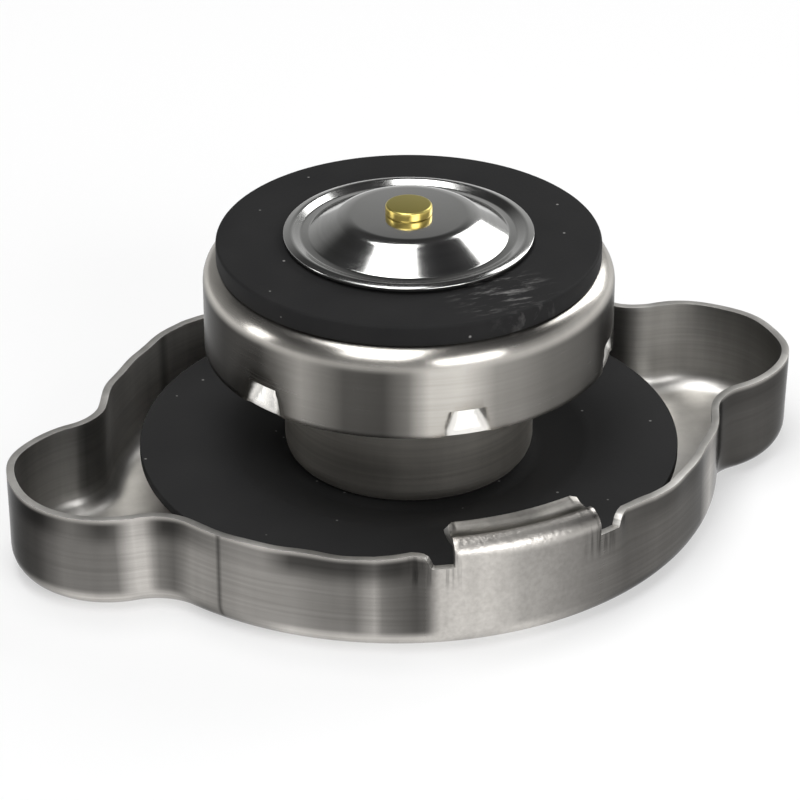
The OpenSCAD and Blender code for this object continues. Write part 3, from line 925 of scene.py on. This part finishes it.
cup_line = arc(boss_r, boss_top - boss_bend, boss_bend, 90, 0, 5)
cup_line += arc(boss_r + boss_bend + boss_foot_bend, cup_top + boss_foot_bend, boss_foot_bend, 180, 270, 3)
cup_line += [(12.0, cup_top), (16.0, cup_top)]
cup_line += arc(cup_r - shoulder_bend, cup_top - shoulder_bend, shoulder_bend, 90, 0, 8)
cup_line += [(cup_r, 25.0), (cup_r, 23.4), (cup_r, flap_top)]
cup_bm = bmesh.new()
row = first_row(cup_bm, circle(pin_hole, boss_top, cup_turns))
port_near = grow(cup_bm, row, port_row(-1))
port_far = grow(cup_bm, port_near, port_row(1))
row = port_far
for radius, z in cup_line:
    row = grow(cup_bm, row, circle(radius, z, cup_turns))
slit_top = row
slit_low = grow(cup_bm, slit_top, flap_row(flap_top - flap_slit))
row = slit_low
for z in (21.3, 20.7, 20.1, 19.5, cup_rim):
    row = grow(cup_bm, row, flap_row(z))

# the slits over the flaps and the ports are opened
opened = []
port_half = math.asin(port_r / port_ring)
for k in range(cup_columns):
    after = (k + 1) % cup_columns
    if min(from_flap(k), from_flap(k + 1)) < flap_end:
        opened.append((slit_top[k], slit_top[after], slit_low[k], slit_low[after]))
    if max(abs(from_port(cup_turns[k])), abs(from_port(cup_turns[after]))) < port_half:
        opened.append((port_near[k], port_near[after], port_far[k], port_far[after]))
holes = [face for ends in opened for face in ends[0].link_faces if set(face.verts) == set(ends)]
bmesh.ops.delete(cup_bm, geom=holes, context="FACES_ONLY")
face_outward(cup_bm)


def cover(material, share, colour):
    """Lays one more colour over a material, as far as share says."""
    tree = material.node_tree
    base = tree.nodes["Principled BSDF"].inputs["Base Color"]
    tree.links.new(blend(tree, share, base.links[0].from_socket, (*colour, 1), "MIX"), base)


def flap_reflection_share(tree):
    """A painted reflection on the flaps: six pale spots that widen towards the rim."""
    place = place_of(tree)
    share = turn_share(tree, place, flap_start - flap_pitch / 2, flap_pitch)
    off = calc(tree, "ABSOLUTE", calc(tree, "SUBTRACT", share, 0.5))
    half = remap(tree, place["Z"], flap_top * mm, cup_rim * mm, spot_top, spot_rim)
    inside = remap(tree, calc(tree, "SUBTRACT", half, off), -spot_blur, spot_blur, smooth=True)
    return calc(tree, "MULTIPLY", inside, calc(tree, "LESS_THAN", place["Z"], flap_top * mm))


# painted reflection bands by angle down the cup's skirt, and a painted highlight on its shoulder
cup_reflection_bands = painted_reflection_bands_group("cup_reflection_bands", start=-203.3, bands=(
    (-203.3, 0.12), (-175, 0.06), (-158, 0.10), (-143.5, 0.46), (-131, 0.12), (-120, 0.10), (-113.5, 0.27),
    (-107.5, 0.95), (-100, 1.0), (-89, 0.42), (-71, 0.22), (-47, 0.10), (-23.3, 0.12),
), rim_shades=((-203.3, 0),), bend_reflections=((-203.3, 0.92),), foot_from=26.0, foot_to=27.4)
cup_steel = sheet_steel(
    "cup_steel", (0.80, 0.768, 0.715), (0.69, 0.66, 0.61),
    roughness=0.26, bump=0.08, stretch=0.7, streaks=0.12, bands=cup_reflection_bands,
)
# the flaps are painted pale where they lean in: a painted reflection of the floor
cover(cup_steel, flap_reflection_share(cup_steel.node_tree), (0.90, 0.88, 0.84))
cup_piece = place_piece(
    "valve_cup_pressing", cup_bm, cup_steel, "pressure_valve", "valve_cup", sharp=60,
)
cup_piece.data.materials.append(cut_steel)
thicken(cup_piece, cup_t, edge_width=0.1, edge_steps=2)


# Pressure seal: a thick moulded ring of smooth black rubber, pushed over the cup's boss.
# It closes on the seat inside the filler neck. Handling has left a pale scuff on it.
seal_r = 19.8
seal_hole = 8.7
seal_t = 2.2
seal_top = cup_top + seal_t
scuff_middle = (0.0036, -0.0150, 0.0307)
scuff_reach = 0.0068
scuff_core = 0.0015
scuff_turn = math.radians(23)


def scuff_share(tree):
    """Fine strokes that fade out round the middle of the scuff."""
    where = add(tree, "TexCoord").outputs["Object"]
    far = add(tree, "VectorMath", {0: where, 1: scuff_middle}, operation="DISTANCE").outputs["Value"]
    strokes = noise(tree, 1.0, 7, 0.7, stretch=(320, 1500, 300), turn=scuff_turn)
    near = remap(tree, far, scuff_reach, scuff_core, smooth=True)
    return calc(tree, "MULTIPLY", near, remap(tree, strokes, 0.52, 0.74, 0.0, 0.5))


seal_rubber = black_rubber("seal_rubber", (0.0125, 0.0125, 0.013), 0.4)
cover(seal_rubber, scuff_share(seal_rubber.node_tree), (0.42, 0.41, 0.40))
seal_bm = turned([
    (seal_hole, cup_top, 0.1), (seal_r, cup_top, 0.3), (seal_r, seal_top, 0.3), (seal_hole, seal_top, 0.2),
])
place_piece("seal_ring", seal_bm, seal_rubber, "pressure_valve", "pressure_seal")


# Vacuum disc: a thin polished pressing, dished so that its trough lies on the seal and its rim turns up.
# The brass pin is headed over its flat middle.
dish_hole = 1.1
dish_flat = 33.45
dish_under = 33.0
dish_chrome = metal("dish_chrome", (0.63, 0.63, 0.615), (0.55, 0.55, 0.535), 0.13)
dish_bm = turned([
    (dish_hole, dish_flat, 0), (6.7, dish_flat, 3.0), (10.3, 31.22, 0.5), (11.1, 31.14, 0.5),
    (12.1, 31.60, 0.6), (12.9, 31.36, 0.12), (12.82, 30.96, 0.1), (12.1, 31.18, 0.4),
    (11.2, 30.73, 0.5), (10.15, 30.80, 0.6), (6.57, dish_under, 2.6), (dish_hole, dish_under, 0),
], 200)
place_piece("vacuum_dish", dish_bm, dish_chrome, "vacuum_valve", "vacuum_disc")


# Vacuum stem: a small turned brass pin, headed over the dish and staked under the spring's retainer.
# Its top is coloured darker than its sides.
head_r = 2.4
head_top = 34.45
neck_r = 1.1
stem_r = 1.5
stake_r = 1.9
stake_low = 21.4
stake_chamfer = 0.3
top_dark_from = 34.28
top_dark_to = 34.42
retainer_low = 22.0
retainer_top = 22.6
stem_brass = metal("stem_brass", (0.95, 0.76, 0.24), (0.86, 0.66, 0.16), 0.32)
stem_tree = stem_brass.node_tree
cover(stem_brass, height_step(stem_tree, place_of(stem_tree), top_dark_from, top_dark_to), (0.58, 0.50, 0.15))
stem_bm = turned([
    (0, stake_low, 0), (stake_r - stake_chamfer, stake_low, 0),
    (stake_r, stake_low + stake_chamfer, 0), (stake_r, retainer_low, 0),
    (neck_r, retainer_low, 0), (neck_r, retainer_top, 0), (stem_r, retainer_top, 0), (stem_r, dish_under, 0),
    (neck_r, dish_under, 0), (neck_r, dish_flat, 0), (head_r, dish_flat, 0.15), (head_r, head_top, 0.25),
    (0, head_top, 0),
], 96)
place_piece("brass_pin", stem_bm, stem_brass, "vacuum_valve", "vacuum_stem")


# Vacuum spring: fine hard-drawn wire round the pin, between the boss and the retainer.
# It pulls the dish down on the seal.
small_bm = wound(coil_r=2.4, wire=0.5, bottom=retainer_top, length=7.0, closed_turns=1.0, all_turns=7.0)
small_piece = place_piece(
    "vacuum_coil", small_bm, wire_steel, "pressure_valve", "vacuum_spring",
)
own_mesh(small_piece)


# Spring retainer: a plain steel washer, staked on the hidden end of the pin under the small spring.
# It keeps its CAD shape and has the rivet's finish.
dress("spring_retainer", rivet_steel)
